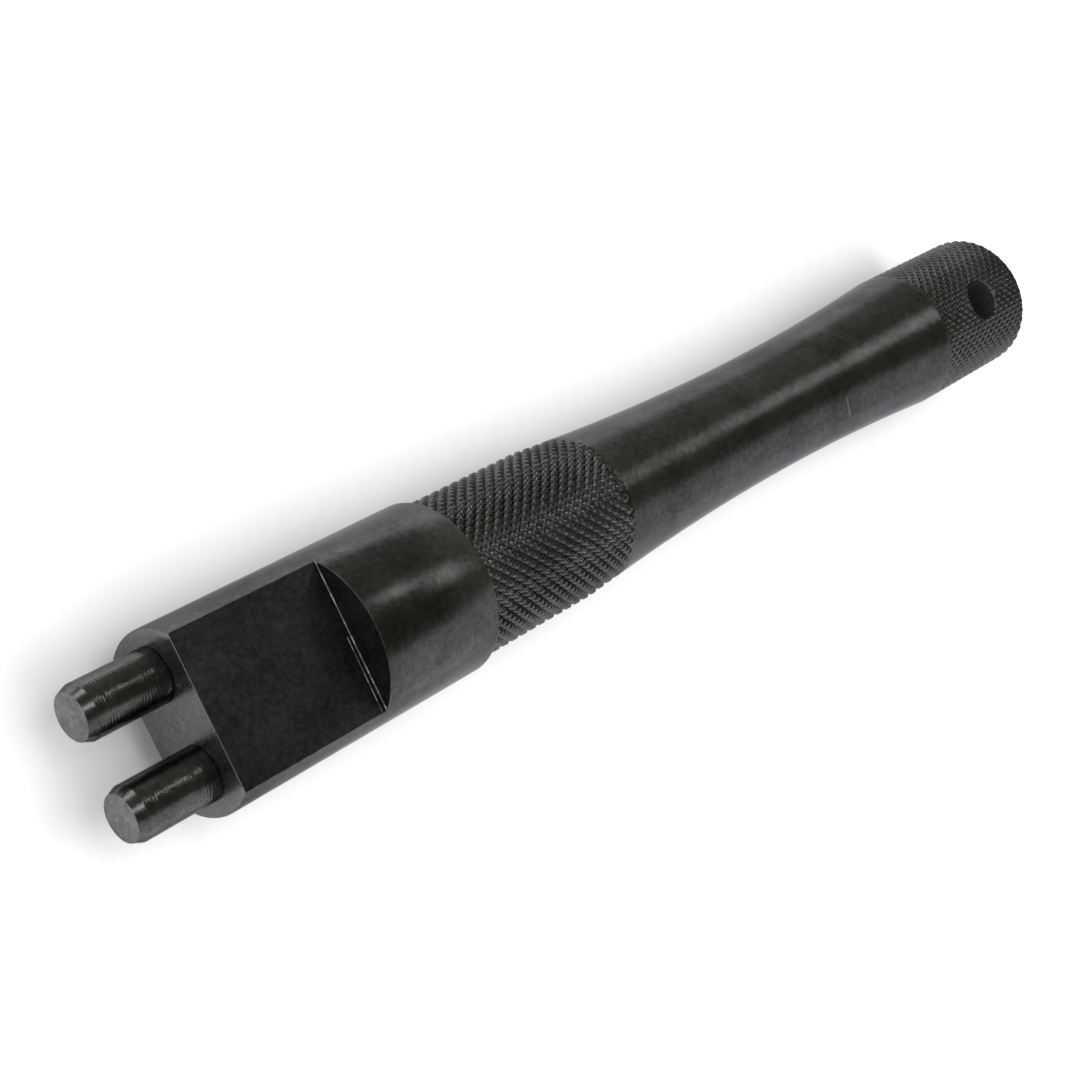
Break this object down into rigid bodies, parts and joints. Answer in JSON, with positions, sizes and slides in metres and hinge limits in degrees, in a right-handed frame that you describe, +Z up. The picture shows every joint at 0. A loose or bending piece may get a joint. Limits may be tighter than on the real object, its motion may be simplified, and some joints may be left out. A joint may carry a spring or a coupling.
{
  "type": "case back opener",
  "caption": "Two-pin hand tool for turning screwed case backs: flatted steel head with two drive pins, waisted handle with knurled bands and a cross hole at the tail.",
  "frame": {"origin": "under the middle of the overall length, on the surface the tool lies on, with the tool's axis straight above it", "axes": "+X along the tool's axis from the drive pins to the tail, +Z up, square to the two spanner flats, +Y across the pair of pins"},
  "size_m": [0.158, 0.02, 0.02],
  "materials": {
    "blackened_steel": "black oxide over turned, milled and knurled steel, satin",
    "pin_steel": "darkened hardened steel with fine turning marks, satin to bright at the tapers"
  },
  "bodies": {
    "root": {"tool_body": "blackened_steel", "drive_pin_left": "pin_steel", "drive_pin_right": "pin_steel"}
  },
  "joints": []
}
